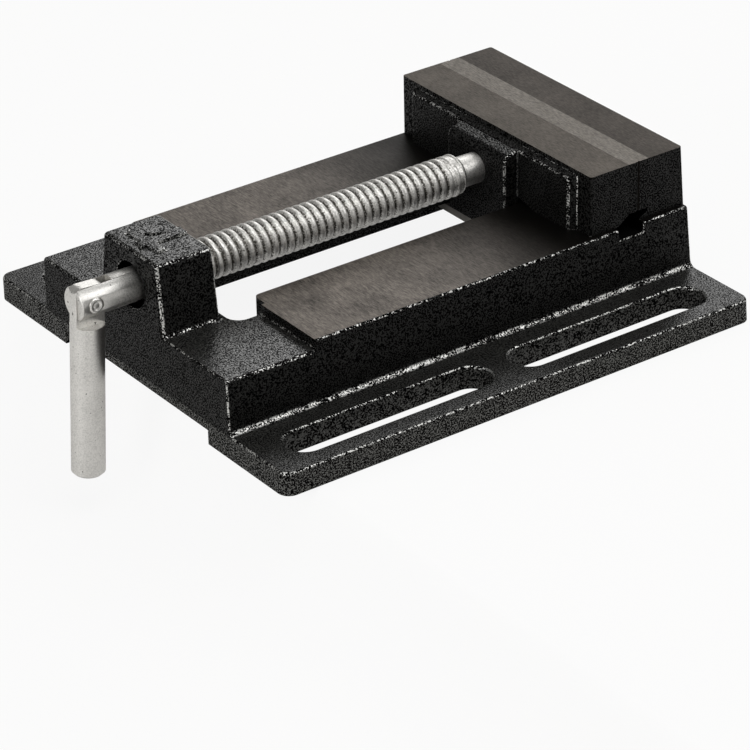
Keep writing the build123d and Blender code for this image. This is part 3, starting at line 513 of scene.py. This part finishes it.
def drawn_line(start, moves, centre):
    """A line of points drawn from a start by steps (along, out), both in millimetres from a centre."""
    bpy.ops.object.select_all(action="DESELECT")
    bpy.ops.mesh.primitive_plane_add(size=1 * MM, location=[c * MM for c in centre])
    piece = bpy.context.object
    bpy.ops.object.mode_set(mode="EDIT")
    bpy.ops.mesh.select_all(action="SELECT")
    bpy.ops.mesh.merge(type="CENTER")
    bpy.ops.transform.translate(value=(start[0] * MM, 0, start[1] * MM))
    for along, out in moves:
        bpy.ops.mesh.extrude_vertices_move(TRANSFORM_OT_translate={"value": (along * MM, 0, out * MM)})
    bpy.ops.object.mode_set(mode="OBJECT")
    return piece


def turned(outline, centre, steps=64):
    """A solid turned about a line along the vise, from its outline of (along, radius) points."""
    moves = [(b[0] - a[0], b[1] - a[1]) for a, b in zip(outline, outline[1:])]
    piece = drawn_line(outline[0], moves, centre)
    bpy.ops.object.mode_set(mode="EDIT")
    bpy.ops.mesh.select_all(action="SELECT")
    bpy.ops.mesh.spin(steps=steps, angle=2 * math.pi, center=[c * MM for c in centre], axis=(1, 0, 0))
    bpy.ops.mesh.select_all(action="SELECT")
    bpy.ops.mesh.remove_doubles(threshold=0.002 * MM)
    bpy.ops.mesh.normals_make_consistent(inside=False)
    bpy.ops.object.mode_set(mode="OBJECT")
    bpy.ops.object.transform_apply(location=True, rotation=True, scale=True)
    return piece


def slab(low, high, turn=(0, 0, 0)):
    """A block between two corners, turned about its middle."""
    bpy.ops.object.select_all(action="DESELECT")
    middle = [(a + b) / 2 * MM for a, b in zip(low, high)]
    bpy.ops.mesh.primitive_cube_add(size=1, location=middle, rotation=[math.radians(t) for t in turn])
    piece = bpy.context.object
    piece.scale = [(b - a) * MM for a, b in zip(low, high)]
    bpy.ops.object.transform_apply(location=True, rotation=True, scale=True)
    return piece


def joined(pieces):
    bpy.ops.object.select_all(action="DESELECT")
    for piece in pieces:
        piece.select_set(True)
    bpy.context.view_layer.objects.active = pieces[0]
    bpy.ops.object.join()
    return pieces[0]


# Spindle: forked shank, trapezoidal thread and grooved neck

# in millimetres
THREAD_START = -84.2
THREAD_END = 34.8
THREAD_LEAD = 3.0
FORK_GAP = 4.2


def thread_body():
    """One tooth of the thread drawn point by point, wound round the axis and trimmed to its length."""
    tooth = ((0.22, 0.0), (0.12, 0.1), (0.36, 0.66), (0.18, 0.18), (0.27, 0.08), (0.35, 0.02),
             (0.35, -0.02), (0.27, -0.08), (0.18, -0.18), (0.36, -0.66), (0.12, -0.1), (0.22, 0.0))
    piece = drawn_line((THREAD_START - 4, 5.95), tooth, AXIS)
    apply_modifier(piece, "SCREW", axis="X", screw_offset=THREAD_LEAD * MM, angle=2 * math.pi, iterations=43,
                   steps=48, render_steps=48, use_merge_vertices=True, merge_threshold=0.001 * MM)
    bpy.ops.object.mode_set(mode="EDIT")
    bpy.ops.mesh.select_all(action="SELECT")
    bpy.ops.mesh.remove_doubles(threshold=0.002 * MM)
    bpy.ops.mesh.select_all(action="SELECT")
    bpy.ops.mesh.bisect(plane_co=(THREAD_START * MM, 0, 0), plane_no=(1, 0, 0),
                        clear_inner=True, use_fill=True)
    bpy.ops.mesh.select_all(action="SELECT")
    bpy.ops.mesh.bisect(plane_co=(THREAD_END * MM, 0, 0), plane_no=(1, 0, 0),
                        clear_outer=True, use_fill=True)
    bpy.ops.mesh.select_all(action="SELECT")
    bpy.ops.mesh.normals_make_consistent(inside=False)
    bpy.ops.object.mode_set(mode="OBJECT")
    bpy.ops.object.transform_apply(location=True, rotation=True, scale=True)
    envelope = turned([(THREAD_START - 1, 0), (THREAD_START - 1, 4.4), (THREAD_START + 1.6, 7.0),
                       (THREAD_END - 1.6, 7.0), (THREAD_END, 5.6), (THREAD_END, 0)], AXIS, 96)
    cut(piece, envelope, "INTERSECT")
    return piece


def spindle_piece():
    """The whole screw. Its last three turns run out, so a plain ring fills their roots."""
    run_out = turned([(26.0, 5.7), (29.5, 6.62), (33.6, 6.62), (34.5, 5.7), (34.5, 0), (26.0, 0),
                      (26.0, 5.7)], AXIS)
    neck = turned([(33.0, 0), (33.0, 5.15), (50.41, 5.15), (50.6, 4.5), (51.2, 3.7), (52.5, 3.25),
                   (53.8, 3.7), (54.4, 4.5), (54.59, 5.15), (58.7, 5.15), (59.5, 4.35), (59.5, 0)], AXIS)
    shank = turned([(-111.9, 0), (-111.9, 5.1), (-111.5, 5.5), (-83.0, 5.5), (-83.0, 0)], AXIS)
    cut(shank, slab((-115, -FORK_GAP / 2, 30), (-99, FORK_GAP / 2, 46)))
    for side in (-1, 1):
        eye = turned([(-1, 0), (-1, 2.7), (1.4, 2.7), (1.4, 2.0), (8, 2.0), (8, 0)], (0, 0, 0), 40)
        eye.rotation_euler = (0, 0, math.radians(-90 * side))
        eye.location = (PIVOT_X * MM, side * 6.3 * MM, AXIS[2] * MM)
        alone(eye)
        bpy.ops.object.transform_apply(location=True, rotation=True, scale=True)
        cut(shank, eye)
    soften(shank, 0.15, 2, 50)
    return settle(joined([shank, thread_body(), run_out, neck]), "screw_spindle", bright_zinc)


spindle = spindle_piece()
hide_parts("spindle")
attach(spindle, "screw")


# Rivet that the handle swings on

def peened_rivet():
    """A round rivet whose ends are set with a hollow punch, which leaves a raised ring and a dimple."""
    half = [(-5.5, 0), (-5.52, 0.7), (-5.4, 1.05), (-5.5, 1.35), (-5.75, 1.65), (-5.79, 1.95), (-5.65, 2.3),
            (-5.3, 2.55), (-4.9, 2.6), (-4.9, 2.0)]
    whole = half + [(-along, radius) for along, radius in reversed(half)]
    piece = turned(whole, (0, 0, 0), 40)
    piece.rotation_euler = (0, 0, math.radians(90))
    piece.location = (PIVOT_X * MM, 0, AXIS[2] * MM)
    return settle(piece, "peened_rivet", bright_zinc)


rivet = peened_rivet()
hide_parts("handle_rivet")
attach(rivet, "screw")


# Cast size number on the nut block

def figure_four(margin, top):
    """The strokes of a figure 4 as one block, widened all round by a margin."""
    low = NUT_TOP - 0.8
    stem = slab((-87.9 - margin, -2.2 - margin, low), (-71.1, 1.2 + margin, top))
    cut(stem, slab((-86.0 - margin, -7.8 - margin, low), (-82.6 + margin, 9.4 + margin, top)), "UNION")
    cut(stem, slab((-86.0 - margin, 3.0 - margin, low), (-70.4, 6.4 + margin, top), (0, 0, -32)), "UNION")
    return stem


def size_number():
    """A raised figure 4, read from the handle end, its strokes rounded, standing in a thin pool of enamel."""
    piece = figure_four(0, NUT_TOP + 0.62)
    soften(piece, 1.0, 4, 40)
    cut(piece, figure_four(0.6, NUT_TOP + 0.08), "UNION")
    return settle(piece, "cast_size_number", casting)


number = size_number()
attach(number, "base")


# Jaw plates with cut chequers, and their cross-head screws

# in millimetres, the slope in degrees
GROOVES = 14
GROOVE_SPACING = 10.1
GROOVE_SLOPE = 28.5
GROOVE_MIDDLE = 41.9
PLATE_SCREW_SIDE = 33.9
PLATE_SCREW_HEIGHT = 42.7
PLATE_SCREW_SEAT = 2.6


def grooved_plate(name):
    """The plate's blank with V grooves cut both ways across its gripping face."""
    piece = node[name].copy()
    piece.data = node[name].data.copy()
    bpy.context.collection.objects.link(piece)
    alone(piece)
    bpy.ops.object.mode_set(mode="EDIT")
    bpy.ops.mesh.select_all(action="SELECT")
    bpy.ops.mesh.remove_doubles(threshold=0.001 * MM)
    bpy.ops.mesh.select_all(action="SELECT")
    bpy.ops.mesh.tris_convert_to_quads()
    bpy.ops.object.mode_set(mode="OBJECT")
    for slope in (-1, 1):
        groove = slab((-0.27, -45, -0.27), (0.27, 45, 0.27), (0, 45, 0))
        groove.rotation_euler = (math.radians(GROOVE_SLOPE * slope), 0, 0)
        groove.location = (SEAM_X * MM, -(GROOVES - 1) / 2 * GROOVE_SPACING * MM, GROOVE_MIDDLE * MM)
        alone(groove)
        bpy.ops.object.transform_apply(location=True, rotation=True, scale=True)
        apply_modifier(groove, "ARRAY", count=GROOVES, use_relative_offset=False, use_constant_offset=True,
                       constant_offset_displace=(0, GROOVE_SPACING * MM, 0))
        field = slab((SEAM_X - 2, -49.5, 33.8), (SEAM_X + 2, 49.5, 50.3))
        cut(groove, field, "INTERSECT")
        cut(piece, groove)
    return settle(piece, name + "_chequered", blackened, 20)


def cross_head_screw():
    """A low domed screw with a cross recess, its head towards -X and its seat at x = 0."""
    piece = turned([(12.0, 0), (12.0, 1.5), (11.5, 2.0), (0, 2.0), (0, 3.55), (-0.1, 3.65), (-1.3, 3.65),
                    (-1.55, 3.5), (-1.8, 2.6), (-1.95, 1.4), (-2.0, 0)], (0, 0, 0), 48)
    for turn in (0, 90):
        arm = slab((-2.4, -0.45, -2.2), (-0.3, 0.45, 2.2))
        alone(arm)
        bpy.ops.object.mode_set(mode="EDIT")
        bpy.ops.mesh.select_all(action="DESELECT")
        bpy.ops.object.mode_set(mode="OBJECT")
        for face in arm.data.polygons:
            face.select = face.normal.x > 0.9
        bpy.ops.object.mode_set(mode="EDIT")
        bpy.ops.mesh.select_mode(type="FACE")
        bpy.ops.transform.resize(value=(1, 0.6, 0.35))
        bpy.ops.object.mode_set(mode="OBJECT")
        arm.rotation_euler = (math.radians(turn + 20), 0, 0)
        alone(arm)
        bpy.ops.object.transform_apply(location=True, rotation=True, scale=True)
        cut(piece, arm)
    soften(piece, 0.08, 1, 50)
    return piece


def set_screw(pattern, name, y, way, body):
    """Copies the pattern screw into a jaw plate; way is where its head points."""
    piece = pattern.copy()
    piece.data = pattern.data.copy()
    bpy.context.collection.objects.link(piece)
    piece.rotation_euler = (0, 0, 0 if way < 0 else math.pi)
    piece.location = ((SEAM_X - way * PLATE_SCREW_SEAT) * MM, y * MM, PLATE_SCREW_HEIGHT * MM)
    settle(piece, name + "_cross_head", fastener)
    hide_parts(name)
    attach(piece, body)


for side, body in (("fixed", "base"), ("moving", "sliding_jaw")):
    plate = grooved_plate(side + "_jaw_plate")
    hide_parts(side + "_jaw_plate")
    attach(plate, body)

pattern_screw = cross_head_screw()
for side, way, body in (("fixed", -1, "base"), ("moving", 1, "sliding_jaw")):
    for end, y in (("near", -PLATE_SCREW_SIDE), ("far", PLATE_SCREW_SIDE)):
        set_screw(pattern_screw, side + "_plate_screw_" + end, y, way, body)
bpy.data.objects.remove(pattern_screw)


# Floor, lights and camera

# in millimetres
BENCH_EDGE = -77.0


def floor_piece():
    """A pale bench top that curves down under the front of the vise, where the handle hangs past it.
    It is 6 m long and 12 m wide, and lies 0.05 mm below the vise."""
    bpy.ops.object.select_all(action="DESELECT")
    bpy.ops.mesh.primitive_plane_add(size=1, location=(0, 0, 0))
    piece = bpy.context.object
    piece.name = "bench"
    bpy.ops.object.mode_set(mode="EDIT")
    bpy.ops.mesh.select_all(action="SELECT")
    bpy.ops.transform.resize(value=(6, 12, 1))
    bpy.ops.transform.translate(value=(3 + BENCH_EDGE * MM, 0, -0.05 * MM))
    bpy.ops.mesh.select_all(action="DESELECT")
    bpy.ops.object.mode_set(mode="OBJECT")
    for edge in piece.data.edges:
        ends = [piece.data.vertices[v].co.x for v in edge.vertices]
        edge.select = max(ends) < 0
    bpy.ops.object.mode_set(mode="EDIT")
    fall = ((-1.5, -0.3), (-1.5, -1.2), (-1.5, -3), (-1.5, -5), (-2, -7.5), (-3, -8), (-5, -6), (-9, -3.5),
            (-15, -1.2), (-3000, 0))
    for along, down in fall:
        bpy.ops.mesh.extrude_edges_move(TRANSFORM_OT_translate={"value": (along * MM, 0, down * MM)})
    bpy.ops.object.mode_set(mode="OBJECT")
    material, tree = new_material("pale_bench_top")
    lit = add(tree, "BsdfPrincipled", {"Base Color": linear("#dddcda"), "Roughness": 0.8})
    white = add(tree, "Emission", {"Color": linear("#ffffff"), "Strength": 1.0})
    ray = add(tree, "LightPath", {}).outputs
    reflected = add(tree, "Math", {"operation": "MAXIMUM", 0: ray["Is Glossy Ray"],
                                   1: ray["Is Transmission Ray"]}).outputs[0]
    reflected = add(tree, "Math", {"operation": "MULTIPLY", 0: reflected, 1: 0.3}).outputs[0]
    seen = add(tree, "Math", {"operation": "MULTIPLY_ADD", 0: ray["Is Camera Ray"], 1: 0.9,
                              2: reflected}).outputs[0]
    both = add(tree, "MixShader", {0: seen, 1: lit.outputs[0], 2: white.outputs[0]})
    add(tree, "OutputMaterial", {"Surface": both.outputs[0]})
    settle(piece, "bench", material, 60)
    return piece


floor_piece()


def soft_light(name, size, power, place):
    """A square soft box that looks at the vise, its size in metres and its power in watts."""
    data = bpy.data.lights.new(name, "AREA")
    data.size = size
    data.energy = power
    lamp = bpy.data.objects.new(name, data)
    bpy.context.collection.objects.link(lamp)
    lamp.location = place
    lamp.rotation_euler = (-lamp.location).to_track_quat("-Z", "Y").to_euler()
    lamp.visible_camera = False


soft_light("overhead", 0.8, 5.5, (-0.1, -0.35, 1.15))
soft_light("behind", 1.2, 8.2, (0.97, 0.84, 1.0))
soft_light("right", 0.85, 4.3, (0.72, -0.82, 0.88))
soft_light("left", 0.6, 4.0, (-1.25, -0.15, 0.3))

world = bpy.data.worlds.new("studio")
bpy.context.scene.world = world
world.use_nodes = True
world.node_tree.nodes.clear()
air = add(world.node_tree, "Background", {"Color": linear("#f4f3f1"), "Strength": 0.32})
add(world.node_tree, "OutputWorld", {"Surface": air.outputs[0]})

# the photograph's camera: where it stands, and how far it is turned, tipped from level and rolled, in degrees
CAMERA_PLACE = (-0.619515, -0.866132, 0.565233)
TURNED = -35.5996
TIPPED = 28.9971
ROLLED = -1.1529

lens = bpy.data.cameras.new("camera")
lens.lens = 178.017
lens.sensor_width = 36
lens.clip_start = 0.01
camera = bpy.data.objects.new("camera", lens)
bpy.context.collection.objects.link(camera)
camera.matrix_world = (Matrix.Translation(CAMERA_PLACE)
                       @ Matrix.Rotation(math.radians(TURNED), 4, "Z")
                       @ Matrix.Rotation(math.radians(90 - TIPPED), 4, "X")
                       @ Matrix.Rotation(math.radians(ROLLED), 4, "Z"))
bpy.context.scene.camera = camera
bpy.context.scene.view_settings.view_transform = "Standard"
